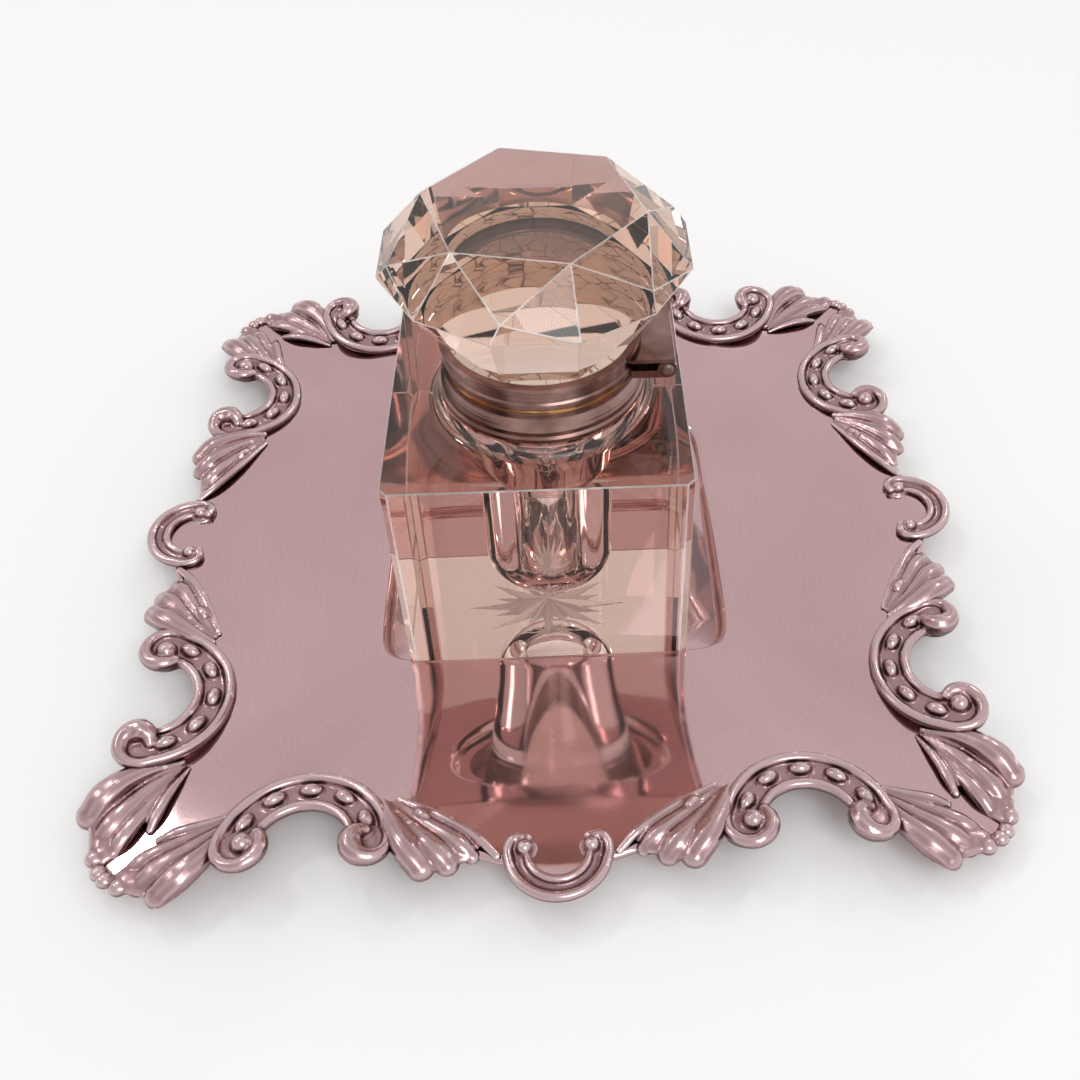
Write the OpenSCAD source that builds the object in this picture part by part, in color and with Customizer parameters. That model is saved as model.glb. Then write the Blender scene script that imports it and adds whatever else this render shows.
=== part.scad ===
// Desk inkstand: a dished square plate tray with soldered scroll and leaf mounts
// round its edge, and a loose square cut-glass ink bottle whose faceted glass lid
// is hinged to a metal collar. Millimetres, +Z up, front toward -Y.
// Origin: centre of the flat underside of the tray's sunken well.

/* [Tray] */
// Thickness of the pressed tray sheet.
sheet = 0.8; // [0.6:0.1:1.2]
// Half width of the sunken square well, at its wall.
well_half = 30.0; // [28:0.5:34]
// Corner radius of the well.
well_corner = 4.5; // [3:0.5:7]
// Height of the well's rim above its underside.
well_rim = 3.2; // [2.4:0.1:4.4]
// Sheet height under the centre of each side.
edge_mid = 5.0; // [4.4:0.1:6]
// Sheet height under the beaded scrolls, the highest part of the edge.
edge_peak = 6.9; // [6:0.1:9]
// Sheet height at the tray's corners.
edge_corner = 3.7; // [3.2:0.1:6]
// Reach of the sheet along each diagonal, measured across one axis.
corner_reach = 69.0; // [67:0.5:71]

/* [Beaded scrolls] */
// Distance of each beaded scroll from the side's centre line.
scroll_at = 38.4; // [37:0.2:40]
// Distance of the scroll's centre from the tray's centre.
scroll_out = 67.3; // [66:0.1:69]
// Radius of the scroll's mid line.
scroll_radius = 10.2; // [9.6:0.1:10.8]
// Half width of the scroll's band.
scroll_half_band = 3.5; // [3:0.1:3.8]
// Radius of the two raised rims of the band.
rim_radius = 0.85; // [0.6:0.05:1.0]
// Radius of each pearl in the groove.
pearl_radius = 1.15; // [0.9:0.05:1.3]
// Number of pearls in one scroll.
pearls = 5; // [4:1:7]
// Distance of a curl's centre from the scroll's own centre line.
curl_at = 9.3; // [8.8:0.1:9.8]
// How far the curls are set back from the scroll's centre, toward the tray.
curl_back = 0.8; // [0:0.1:1.5]
// Radius of the rim that winds round each curl.
curl_radius = 3.5; // [3.2:0.1:4]
// Radius of the rim of the smaller curl, toward the middle of the side.
small_curl = 3.1; // [2.7:0.1:3.4]
// Radius of the bead that ends each curl.
curl_bead = 1.9; // [1.5:0.1:2.2]

/* [Centre scrolls] */
// Distance of the centre scroll from the tray's centre.
centre_out = 68.5; // [67.5:0.1:70]
// Radius of the centre scroll's mid line.
centre_radius = 6.3; // [5.8:0.1:6.8]
// Half width of the centre scroll's band.
centre_half_band = 2.1; // [1.7:0.1:2.4]
// Radius of the bead that ends each of its curls.
centre_bead = 1.35; // [1.1:0.05:1.6]

/* [Leaves] */
// Height of a leaf lobe's crest above the sheet.
leaf_rise = 2.6; // [1.8:0.1:3.4]
// Half width of the main lobe of a leaf.
leaf_half = 3.0; // [2.5:0.1:3.4]

/* [Bottle] */
// Width of the square bottle body.
bottle_width = 49.0; // [46:0.5:52]
// Height of the body, up to its shoulder.
bottle_height = 42.2; // [38:0.5:46]
// Width of the polished bevel down each corner.
bottle_bevel = 1.8; // [1.2:0.1:3]
// Place of the bottle in the well, left or right of the centre.
bottle_x = -1.3; // [-2.5:0.1:2.5]
// Place of the bottle in the well, forward or back of the centre.
bottle_y = -4.6; // [-5:0.1:4.2]
// Place of the neck, to the right of the middle of the hand-made body.
neck_shift = 0.9; // [0:0.1:1.5]
// Radius of the ink well sunk in the glass.
ink_radius = 11.0; // [9:0.1:11.5]
// Thickness of glass left under the ink well.
base_glass = 5.2; // [4:0.2:8]
// Radius of the star cut under the base.
star_radius = 14.6; // [11:0.2:16]
// Depth of the star's cuts at their deepest.
star_depth = 1.4; // [0.8:0.1:1.8]

/* [Collar] */
// Radius of the collar at its top edge.
collar_top_radius = 16.1; // [15.6:0.1:16.4]
// How far the collar's foot flares out beyond its top edge.
collar_flare = 0.9; // [0.4:0.1:1.4]
// Height of the collar.
collar_height = 5.4; // [5:0.1:7]
// Wall of the collar and of the lid ring.
ring_wall = 0.9; // [0.7:0.05:1.2]

/* [Lid] */
// Height of the metal lid ring.
lid_ring_height = 4.5; // [3.8:0.1:5.5]
// How far the corners of the lid's eight-sided foot reach over the ring's bore.
foot_lap = 0.2; // [0.1:0.05:0.5]
// Radius of the twelve-sided widest line of the lid, over its corners.
lid_girdle = 24.5; // [22:0.1:25.5]
// Radius of the six points where the star facets under the table end.
lid_star = 22.8; // [21.5:0.1:23.6]
// Radius of the six-sided flat top of the lid, over its corners.
lid_table = 17.2; // [15:0.1:18.5]
// Height of the widest line above the foot.
girdle_up = 14.1; // [12:0.1:15]
// Height of the star facets' points above the foot.
star_up = 16.6; // [15:0.1:18]
// Height of the flat top above the foot.
table_up = 22.4; // [19:0.2:25]
// Turn of the hand-cut top facets against the lower ones.
table_turn = 3; // [0:1:8]

/* [Hinge] */
// Distance of the hinge pin from the bottle's centre line.
hinge_out = 20.2; // [19.8:0.1:21]
// Radius of the hinge knuckles.
knuckle_radius = 1.6; // [1.4:0.1:1.9]
// Radius of the hinge pin.
pin_radius = 0.75; // [0.6:0.05:0.9]
// Whole length of the three knuckles.
hinge_length = 14.0; // [11:0.5:15]
// Length of the middle knuckle, which belongs to the lid.
middle_length = 5.0; // [4:0.5:6]
// Thickness of the lid's flat plate that covers the knuckles.
plate_thick = 0.7; // [0.5:0.1:1]
// How far the cover plate reaches past the pin.
plate_past = 1.1; // [0.6:0.1:1.5]
// How far the cover plate's ends reach past the knuckles.
plate_lap = 0.5; // [0.2:0.1:0.8]

/* [Hidden] */
$fn = 64;
eps = 0.02;
// Running clearances.
pin_gap = 0.05;
knuckle_gap = 0.15;
joint_gap = 0.3;
seat_gap = 0.02;

// Heights that stack up through the bottle.
bottle_floor = sheet + seat_gap;
shoulder_z = bottle_floor + bottle_height;
neck_rise = 2.7;
collar_z = shoulder_z + neck_rise;
collar_top = collar_z + collar_height;
lip_thick = 0.45;
joint_z = collar_top + lip_thick + joint_gap / 2;
lid_ring_z = joint_z + joint_gap / 2;
lid_foot_z = lid_ring_z + lid_ring_height;
bottle_half = bottle_width / 2;
neck_x = bottle_x + neck_shift;
// Radii that follow the rings.
collar_radius = collar_top_radius + collar_flare;
bore_radius = collar_top_radius - ring_wall;
lid_foot = bore_radius + foot_lap;
neck_radius = bore_radius - 1.1;
stub_radius = bore_radius - 1.1;
mouth_radius = ink_radius;

// Section of the mounts.
groove_floor = 1.2;
rim_height = 1.75;
mount_sink = 0.5;

silver = [0.82, 0.78, 0.78];
gilt = [0.85, 0.68, 0.32];
plaster = [0.9, 0.87, 0.8];
clear = [0.85, 0.88, 0.86, 0.35];

// ---- Shared shapes ----

// Closed skin through a list of rings of points, capped at both ends.
module loft(rings) {
  n = len(rings[0]);
  m = len(rings);
  walls = [for (i = [0 : m - 2], j = [0 : n - 1], half = [0, 1])
    let (k = (j + 1) % n, a = i * n + j, b = i * n + k, c = a + n, d = b + n)
    half == 0 ? [a, b, d] : [a, d, c]];
  foot = [[for (j = [n - 1 : -1 : 0]) j]];
  head = [[for (j = [0 : n - 1]) (m - 1) * n + j]];
  polyhedron([for (ring = rings, p = ring) p], concat(walls, foot, head));
}

// Closed skin through rings that come back to the first one.
module ring_loft(rings) {
  n = len(rings[0]);
  m = len(rings);
  walls = [for (i = [0 : m - 1], j = [0 : n - 1], half = [0, 1])
    let (k = (j + 1) % n, a = i * n + j, b = i * n + k,
      c = ((i + 1) % m) * n + j, d = ((i + 1) % m) * n + k)
    half == 0 ? [a, b, d] : [a, d, c]];
  polyhedron([for (ring = rings, p = ring) p], walls);
}

// Part of a round bar bent to a circle in the XY plane.
module bent_bar(radius, bar, start, sweep) {
  rotate([0, 0, start])
    rotate_extrude(angle = sweep)
      translate([radius, 0])
        circle(r = bar, $fn = 32);
}

// ---- Tray ----

// Smooth step from 0 to 1.
function ease(s) = (1 - cos(180 * min(max(s, 0), 1))) / 2;

// Level of the dish's edge: low at mid side, high under the scrolls, low at corners.
peak_share = 0.56;
fall_share = 0.66;
valley_share = 0.9;
function share(x, y) = min(abs(x), abs(y)) / max(abs(x), abs(y));
function edge_z(s) = s < peak_share
  ? edge_mid + (edge_peak - edge_mid) * ease(s / peak_share)
  : edge_peak - (edge_peak - edge_corner) * ease((s - fall_share) / (valley_share - fall_share));

// Distance from the centre along a square with rounded corners.
square_power = 12;
function spread(x, y) = pow(pow(abs(x), square_power) + pow(abs(y), square_power), 1 / square_power);

// Upper face of the sheet: a dish that rises from the well's rim to its edge level.
dish_reach = 66;
dish_curve = 1.4;
function sheet_z(x, y) = well_rim + (edge_z(share(x, y)) - well_rim)
  * pow(min(max((spread(x, y) - well_half) / (dish_reach - well_half), 0), 1.15), dish_curve);

// A point beside a scroll, from the scroll's centre and in tenths of its radius.
function by_scroll(u, v) = [scroll_at, scroll_out] + scroll_radius / 10 * [u, v];

// Half of one side's edge, from mid side to the corner, as [along, outward].
edge_lap = 0.3;
function half_edge() = concat(
  [for (a = [0 : 22 : 66])
    [(centre_radius + edge_lap) * sin(a), centre_out + (centre_radius - edge_lap) * cos(a)]],
  [by_scroll(-29.2, 2.6), by_scroll(-26.2, 1.8), by_scroll(-22.8, 2.4), by_scroll(-19.2, 3.1),
    by_scroll(-16.2, 1.6), by_scroll(-13.7, -1.9)],
  [for (a = [16 : 24 : 136])
    [scroll_at - scroll_radius * cos(a), scroll_out - scroll_radius * sin(a)]],
  [by_scroll(9.4, -4.2), by_scroll(12.6, -2.4), by_scroll(15.6, 0.6), by_scroll(18.8, 2.8),
    by_scroll(22.2, 3.6), by_scroll(25.6, 3)]);

function mirror_half(points) = [for (i = [len(points) - 1 : -1 : 1]) [-points[i][0], points[i][1]]];
function one_side() = concat(mirror_half(half_edge()), half_edge(), [[corner_reach, corner_reach]]);
function turned(p, k) = k == 0 ? [p[0], -p[1]]
  : k == 1 ? [p[1], p[0]]
  : k == 2 ? [-p[0], p[1]]
  : [-p[1], -p[0]];
function tray_edge() = [for (k = [0 : 3], p = one_side()) turned(p, k)];

// Where a ray from the centre leaves the well's rounded square.
function well_point(p) = p * well_half / spread(p[0], p[1]);

dish_steps = 4;
function dish_ring(t, drop) = [for (p = tray_edge())
  let (w = well_point(p), q = w + (p - w) * t)
  [q[0], q[1], sheet_z(q[0], q[1]) - drop]];

module rounded_square(half, corner, thick) {
  translate([-half, corner - half, 0])
    cube([2 * half, 2 * (half - corner), thick]);
  translate([corner - half, -half, 0])
    cube([2 * (half - corner), 2 * half, thick]);
  for (x = [-1, 1], y = [-1, 1])
    translate([x * (half - corner), y * (half - corner), 0])
      cylinder(r = corner, h = thick);
}

module tray() {
  color(silver) {
    difference() {
      rounded_square(well_half + sheet, well_corner + sheet, well_rim);
      translate([0, 0, sheet])
        rounded_square(well_half, well_corner, well_rim);
    }
    ring_loft(concat(
      [for (i = [0 : dish_steps]) dish_ring(i / dish_steps, 0)],
      [for (i = [dish_steps : -1 : 0]) dish_ring(i / dish_steps, sheet)]));
  }
}

// ---- Mounts ----

// Each mount lies on the sheet, at the sheet's own slope.
scroll_base = sheet_z(scroll_at, scroll_out) - mount_sink;
centre_base = sheet_z(0, centre_out) - mount_sink;
scroll_tilt = 7.5;
centre_tilt = 3;

// Places a mount on one side: 0 front, 1 right, 2 back, 3 left; hand 1 mirrors it.
module on_side(side, hand) {
  rotate([0, 0, 180 + 90 * side])
    if (hand > 0)
      mirror([1, 0, 0])
        children();
    else
      children();
}

// Cross-section of a grooved band, from its inner to its outer rim.
module grooved_band(radius, half_band, rim) {
  translate([radius - half_band + rim, 0])
    square([2 * (half_band - rim), groove_floor]);
  for (s = [-1, 1]) {
    translate([radius + s * (half_band - rim), rim_height - rim])
      circle(r = rim, $fn = 32);
    translate([radius + s * (half_band - rim) - rim, 0])
      square([2 * rim, rim_height - rim]);
  }
}

// A curl: a rim winding round a bead, on a thin round seat.
module curl(radius, bar, bead, start, sweep) {
  cylinder(r = radius, h = groove_floor);
  translate([0, 0, rim_height - bar])
    bent_bar(radius, bar, start, sweep);
  translate([0, 0, groove_floor])
    sphere(r = bead, $fn = 32);
}

// A piece at the right end of a scroll and its mirror image at the left end.
module both_ends(out) {
  translate([out, 0, 0])
    children();
  mirror([1, 0, 0])
    translate([out, 0, 0])
      children();
}

// Beaded scroll, with its larger curl to the left as seen from outside the tray.
module beaded_scroll(at) {
  color(silver)
    translate([at, scroll_out, scroll_base])
      rotate([scroll_tilt, 0, 0]) {
        rotate([0, 0, 180])
          rotate_extrude(angle = 180)
            grooved_band(scroll_radius, scroll_half_band, rim_radius);
        for (i = [1 : pearls])
          rotate([0, 0, 180 + 180 * i / (pearls + 1)])
            translate([scroll_radius, 0, groove_floor])
              sphere(r = pearl_radius, $fn = 32);
        translate([curl_at, -curl_back, 0])
          curl(curl_radius, rim_radius, curl_bead, -20, 250);
        mirror([1, 0, 0])
          translate([curl_at + curl_radius - small_curl, -curl_back, 0])
            curl(small_curl, rim_radius, curl_bead * small_curl / curl_radius, -20, 250);
      }
}

module centre_scroll() {
  color(silver)
    translate([0, centre_out, centre_base])
      rotate([centre_tilt, 0, 0]) {
        rotate_extrude(angle = 180)
          grooved_band(centre_radius, centre_half_band, rim_radius * 0.9);
        both_ends(centre_radius - 0.5)
          curl(centre_half_band, rim_radius * 0.8, centre_bead, 130, 250);
      }
}

// One lobe of a leaf: a tapering ridge from root to tip, following the sheet.
lobe_steps = 7;
function lobe_ring(root, tip, half, rise, bow, t) = let (
  along = tip - root,
  aside = [-along[1], along[0]] / norm(along),
  mid = root + along * t + aside * bow * sin(180 * t),
  w = half * pow(sin(180 * pow(0.06 + 0.9 * t, 0.75)), 0.7),
  h = rise * (0.35 + 0.65 * sin(180 * pow(0.1 + 0.85 * t, 0.9))),
  z = sheet_z(mid[0], mid[1]))
  [for (c = [[-1, -mount_sink], [-1, 0.1], [-0.6, 0.75], [0, 1], [0.6, 0.75], [1, 0.1], [1, -mount_sink]])
    [mid[0] + aside[0] * w * c[0], mid[1] + aside[1] * w * c[0],
      c[1] < 0 ? z + c[1] : z + h * c[1]]];

module lobe(root, tip, half, rise, bow) {
  loft([for (i = [0 : lobe_steps]) lobe_ring(root, tip, half, rise, bow, i / lobe_steps)]);
}

// Leaf spray between a beaded scroll and the centre scroll.
module leaf_spray() {
  color(silver) {
    lobe(by_scroll(-11.6, -7), by_scroll(-19, 6), leaf_half, leaf_rise, -0.15 * scroll_radius);
    lobe(by_scroll(-12.4, -6.4), by_scroll(-22.2, 5.4), leaf_half * 0.8, leaf_rise * 0.9, 0);
    lobe(by_scroll(-13, -6.8), by_scroll(-25.4, 3.2), leaf_half * 0.65, leaf_rise * 0.8, 0.08 * scroll_radius);
    lobe(by_scroll(-13.8, -7.6), by_scroll(-29.2, 2.8), leaf_half * 0.42, leaf_rise * 0.6, 0.12 * scroll_radius);
  }
}

// Leaf beside each tray corner.
module corner_leaf() {
  color(silver) {
    lobe(by_scroll(11.2, -6.2), by_scroll(21.4, 6.6), leaf_half, leaf_rise, 0.18 * scroll_radius);
    lobe(by_scroll(12, -7), by_scroll(25, 3.2), leaf_half * 0.8, leaf_rise * 0.9, 0.06 * scroll_radius);
    lobe(by_scroll(12, -8.2), by_scroll(27.2, 1.2), leaf_half * 0.6, leaf_rise * 0.75, 0);
    lobe(by_scroll(11, -9.6), by_scroll(21.8, -3.4), leaf_half * 0.4, leaf_rise * 0.55, 0);
  }
}

module scroll_front_left() { on_side(0, -1) beaded_scroll(scroll_at); }
module scroll_front_right() { on_side(0, -1) beaded_scroll(-scroll_at); }
module scroll_right_front() { on_side(1, -1) beaded_scroll(scroll_at); }
module scroll_right_back() { on_side(1, -1) beaded_scroll(-scroll_at); }
module scroll_back_right() { on_side(2, -1) beaded_scroll(scroll_at); }
module scroll_back_left() { on_side(2, -1) beaded_scroll(-scroll_at); }
module scroll_left_back() { on_side(3, -1) beaded_scroll(scroll_at); }
module scroll_left_front() { on_side(3, -1) beaded_scroll(-scroll_at); }
module centre_scroll_front() { on_side(0, 1) centre_scroll(); }
module centre_scroll_right() { on_side(1, 1) centre_scroll(); }
module centre_scroll_back() { on_side(2, 1) centre_scroll(); }
module centre_scroll_left() { on_side(3, 1) centre_scroll(); }
module leaf_front_left() { on_side(0, -1) leaf_spray(); }
module leaf_front_right() { on_side(0, 1) leaf_spray(); }
module leaf_right_front() { on_side(1, -1) leaf_spray(); }
module leaf_right_back() { on_side(1, 1) leaf_spray(); }
module leaf_back_right() { on_side(2, -1) leaf_spray(); }
module leaf_back_left() { on_side(2, 1) leaf_spray(); }
module leaf_left_back() { on_side(3, -1) leaf_spray(); }
module leaf_left_front() { on_side(3, 1) leaf_spray(); }
module corner_leaf_front_left() { on_side(0, -1) corner_leaf(); }
module corner_leaf_front_right() { on_side(0, 1) corner_leaf(); }
module corner_leaf_right_front() { on_side(1, -1) corner_leaf(); }
module corner_leaf_right_back() { on_side(1, 1) corner_leaf(); }
module corner_leaf_back_right() { on_side(2, -1) corner_leaf(); }
module corner_leaf_back_left() { on_side(2, 1) corner_leaf(); }
module corner_leaf_left_back() { on_side(3, -1) corner_leaf(); }
module corner_leaf_left_front() { on_side(3, 1) corner_leaf(); }

// ---- Bottle ----

// Square body with a bevel down each corner.
module bevelled_block(half, bevel, tall) {
  linear_extrude(tall)
    polygon([[half - bevel, -half], [half, bevel - half], [half, half - bevel], [half - bevel, half],
      [bevel - half, half], [-half, half - bevel], [-half, bevel - half], [bevel - half, -half]]);
}

star_rays = 16;

// One tapering V cut of the star under the base, deepest at the centre.
module star_cut() {
  slope = atan(star_depth / star_radius);
  translate([0, 0, star_depth])
    rotate([0, slope, 0])
      translate([0, 0, -2 * star_depth])
        rotate([0, 90, 0])
          rotate([0, 0, 45])
            translate([-star_depth * 1.2, -star_depth * 1.2, 0])
              cube([2.4 * star_depth, 2.4 * star_depth, star_radius * 1.2]);
}

fillet = 2.2;

module bottle_glass() {
  color(clear)
    translate([bottle_x, bottle_y, 0])
      difference() {
        union() {
          translate([0, 0, bottle_floor])
            bevelled_block(bottle_half, bottle_bevel, bottle_height);
          translate([neck_shift, 0, shoulder_z])
            rotate_extrude()
              difference() {
                translate([0, -1])
                  square([collar_radius + fillet, fillet + 1]);
                translate([collar_radius + fillet, fillet])
                  circle(r = fillet);
              }
          translate([neck_shift, 0, shoulder_z])
            cylinder(r = collar_radius - ring_wall, h = neck_rise);
          translate([neck_shift, 0, shoulder_z])
            cylinder(r = neck_radius, h = collar_top - shoulder_z);
        }
        translate([neck_shift, 0, bottle_floor + base_glass + ink_radius])
          sphere(r = ink_radius);
        translate([neck_shift, 0, bottle_floor + base_glass + ink_radius])
          cylinder(r = mouth_radius, h = bottle_height);
        translate([0, 0, bottle_floor])
          for (i = [0 : star_rays - 1])
            rotate([0, 0, 360 * i / star_rays])
              star_cut();
      }
}

module collar_cement() {
  color(plaster)
    translate([neck_x, bottle_y, 0])
      rotate_extrude()
        translate([neck_radius, collar_z])
          square([bore_radius - neck_radius, collar_height]);
}

// Hinge knuckle: a barrel with a web back to its ring, above or below the joint.
module knuckle(length, web_from, above) {
  rotate([90, 0, 0])
    translate([0, 0, -length / 2])
      cylinder(r = knuckle_radius, h = length, $fn = 32);
  translate([web_from - hinge_out, -length / 2, above ? joint_gap / 2 : -knuckle_radius])
    cube([hinge_out - web_from, length, knuckle_radius - joint_gap / 2]);
}

ear_length = (hinge_length - middle_length) / 2 - knuckle_gap;
// The ears' webs start inside the collar's wall, also at the ears' outer ends.
ear_root = sqrt(pow(collar_top_radius, 2) - pow(hinge_length / 2, 2)) - 0.4;

module collar() {
  color(silver)
    translate([neck_x, bottle_y, 0])
      difference() {
        union() {
          rotate_extrude()
            polygon([[bore_radius, collar_z], [collar_radius, collar_z], [collar_radius, collar_z + 0.7],
              [collar_radius - 0.35, collar_z + 1.1], [collar_radius - 0.35, collar_z + 1.9],
              [collar_top_radius, collar_top - 1.2], [collar_top_radius, collar_top],
              [bore_radius, collar_top]]);
          for (s = [-1, 1])
            translate([hinge_out, s * (hinge_length - ear_length) / 2, joint_z])
              knuckle(ear_length, ear_root, false);
        }
        translate([0, 0, collar_top])
          cylinder(r = collar_top_radius - 0.1, h = 2);
        translate([0, 0, collar_z])
          cylinder(r = bore_radius, h = collar_height + 2);
        translate([hinge_out, hinge_length / 2 + 1, joint_z])
          rotate([90, 0, 0])
            cylinder(r = pin_radius, h = hinge_length + 2, $fn = 32);
      }
}

module gilt_lip() {
  color(gilt)
    translate([neck_x, bottle_y, collar_top])
      rotate_extrude()
        difference() {
          translate([mouth_radius + 0.4, 0])
            square([collar_top_radius - 0.15 - mouth_radius - 0.4, lip_thick]);
          translate([mouth_radius + 0.4, lip_thick])
            circle(r = 0.3, $fn = 32);
        }
}

module hinge_pin() {
  color(silver)
    translate([neck_x + hinge_out, bottle_y, joint_z])
      rotate([90, 0, 0]) {
        translate([0, 0, -hinge_length / 2])
          cylinder(r = pin_radius, h = hinge_length, $fn = 32);
        translate([0, 0, hinge_length / 2])
          cylinder(r1 = pin_radius * 1.4, r2 = pin_radius, h = 0.4, $fn = 32);
        translate([0, 0, -hinge_length / 2 - 0.4])
          cylinder(r1 = pin_radius, r2 = pin_radius * 1.4, h = 0.4, $fn = 32);
      }
}

// ---- Lid ----

plate_half = hinge_length / 2 + plate_lap;
// The cover plate starts inside the ring's wall, also at its ends.
plate_root = sqrt(pow(collar_top_radius - 0.2, 2) - pow(plate_half, 2)) - 0.3;

module lid_ring() {
  color(silver)
    translate([neck_x, bottle_y, 0])
      difference() {
        union() {
          rotate_extrude()
            polygon([[bore_radius, lid_ring_z], [collar_top_radius + 0.1, lid_ring_z],
              [collar_top_radius + 0.1, lid_ring_z + 0.9], [collar_top_radius - 0.2, lid_ring_z + 1.2],
              [collar_top_radius - 0.2, lid_foot_z - 1.6], [collar_top_radius + 0.3, lid_foot_z - 1.1],
              [collar_top_radius + 0.3, lid_foot_z - 0.2], [bore_radius, lid_foot_z - 0.2]]);
          translate([hinge_out, 0, joint_z])
            knuckle(middle_length, bore_radius + 0.2, true);
          translate([bore_radius + 0.2, -middle_length / 2, joint_z + knuckle_radius - 0.3])
            cube([hinge_out - bore_radius - 0.2, middle_length, 0.3 + knuckle_gap + eps]);
          translate([plate_root, -plate_half, joint_z + knuckle_radius + knuckle_gap])
            cube([hinge_out + plate_past - plate_root, 2 * plate_half, plate_thick]);
        }
        translate([0, 0, lid_ring_z - 1])
          cylinder(r = bore_radius, h = lid_ring_height + 2);
        translate([hinge_out, hinge_length / 2, joint_z])
          rotate([90, 0, 0])
            cylinder(r = pin_radius + pin_gap, h = hinge_length, $fn = 32);
      }
}

module lid_cement() {
  color(plaster)
    translate([neck_x, bottle_y, 0])
      rotate_extrude()
        translate([stub_radius, lid_ring_z])
          square([bore_radius - stub_radius, lid_ring_height]);
}

module lid_glass() {
  color(clear)
    translate([neck_x, bottle_y, lid_foot_z]) {
      hull() {
        rotate([0, 0, 22.5])
          cylinder(r1 = lid_foot, r2 = 1, h = 1, $fn = 8);
        translate([0, 0, girdle_up])
          rotate([0, 0, 15])
            cylinder(r1 = lid_girdle, r2 = 1, h = 1, $fn = 12);
        translate([0, 0, star_up])
          rotate([0, 0, 45 + table_turn])
            cylinder(r1 = lid_star, r2 = 1, h = 1, $fn = 6);
        translate([0, 0, table_up - 1])
          rotate([0, 0, 15 + table_turn])
            cylinder(r1 = 1, r2 = lid_table, h = 1, $fn = 6);
      }
      translate([0, 0, -lid_ring_height])
        cylinder(r = stub_radius, h = lid_ring_height + eps);
    }
}

tray();
scroll_front_left();
scroll_front_right();
scroll_right_front();
scroll_right_back();
scroll_back_right();
scroll_back_left();
scroll_left_back();
scroll_left_front();
centre_scroll_front();
centre_scroll_right();
centre_scroll_back();
centre_scroll_left();
leaf_front_left();
leaf_front_right();
leaf_right_front();
leaf_right_back();
leaf_back_right();
leaf_back_left();
leaf_left_back();
leaf_left_front();
corner_leaf_front_left();
corner_leaf_front_right();
corner_leaf_right_front();
corner_leaf_right_back();
corner_leaf_back_right();
corner_leaf_back_left();
corner_leaf_left_back();
corner_leaf_left_front();
bottle_glass();
collar_cement();
collar();
gilt_lip();
hinge_pin();
lid_ring();
lid_cement();
lid_glass();
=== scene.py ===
# %% [markdown]
# # A desk inkstand: dished silver tray and cut-glass ink bottle
#
# The real object is a small plated tray with scroll and leaf mounts soldered round its
# edge. A square crystal ink bottle stands loose in a sunken well in the middle, and its
# faceted glass lid turns on a metal hinge. The engineering model gives the sizes and the
# moving bodies. This script dresses it: a mirror-smooth tray, cast relief, real glass
# with a star cut under the base, and tarnished collar metal.

# %% Load the frame
import math

import bmesh
import bpy
from mathutils import Matrix, Vector


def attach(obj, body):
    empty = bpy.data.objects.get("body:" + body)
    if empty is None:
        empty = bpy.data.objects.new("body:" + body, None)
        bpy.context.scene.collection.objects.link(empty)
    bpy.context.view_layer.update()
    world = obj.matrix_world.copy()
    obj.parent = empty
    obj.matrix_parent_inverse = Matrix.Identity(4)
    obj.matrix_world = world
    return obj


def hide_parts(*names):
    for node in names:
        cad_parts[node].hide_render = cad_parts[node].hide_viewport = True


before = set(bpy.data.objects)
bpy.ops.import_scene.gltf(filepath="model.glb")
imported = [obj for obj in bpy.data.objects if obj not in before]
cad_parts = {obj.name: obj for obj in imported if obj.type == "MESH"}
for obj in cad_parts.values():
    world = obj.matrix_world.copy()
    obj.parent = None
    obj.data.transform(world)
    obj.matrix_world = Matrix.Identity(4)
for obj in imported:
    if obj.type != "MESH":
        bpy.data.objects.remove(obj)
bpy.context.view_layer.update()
MM = 0.001

# %% [markdown]
# ## Turning a bmesh into a finished piece
#
# Every piece below is modelled in a bmesh in millimetres. One helper scales it to metres,
# points its faces outward, marks the body it moves with, and hides the plain solid that it
# stands for. Smooth shading stops where two faces meet at more than a set angle, so cut
# glass keeps its crisp facets and a spun ring stays round.

# %% Helper that finishes a piece
def add_piece(bm, name, body, nodes, material, crease=40, flip_check=True):
    bmesh.ops.scale(bm, vec=(MM, MM, MM), verts=bm.verts)
    if flip_check:
        bmesh.ops.recalc_face_normals(bm, faces=bm.faces)
    mesh = bpy.data.meshes.new(name)
    bm.to_mesh(mesh)
    bm.free()
    piece = bpy.data.objects.new(name, mesh)
    bpy.context.scene.collection.objects.link(piece)
    mesh.materials.append(material)
    mesh.shade_smooth()
    if crease < 180:
        mesh.set_sharp_from_angle(angle=math.radians(crease))
    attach(piece, body)
    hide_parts(*nodes)
    print(f"{name}: {len(mesh.polygons)} faces")
    return piece

# %% [markdown]
# ## Camera
#
# The camera looks down at the front of the stand from a little above half way up. It is
# close, so the front of the tray looks clearly wider than the back.

# %% Camera
camera_data = bpy.data.cameras.new("camera")
camera = bpy.data.objects.new("camera", camera_data)
bpy.context.scene.collection.objects.link(camera)
bpy.context.scene.camera = camera
camera_place = Vector((4.5, -158.4, 172.0)) * MM
camera_turn, camera_height = math.radians(-2.9), math.radians(43.2)
FRAME, FOCAL, SENSOR = 1080, 1189, 36
SHIFT = (-0.0725, -0.0812)
back = Vector((
    math.sin(camera_turn) * math.cos(camera_height),
    -math.cos(camera_turn) * math.cos(camera_height),
    math.sin(camera_height)))
right = Vector((0, 0, 1)).cross(back).normalized()
up = back.cross(right)
camera.matrix_world = Matrix((
    (right.x, up.x, back.x, camera_place.x),
    (right.y, up.y, back.y, camera_place.y),
    (right.z, up.z, back.z, camera_place.z),
    (0, 0, 0, 1)))
camera_data.sensor_width = SENSOR
camera_data.lens = FOCAL / FRAME * SENSOR
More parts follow.
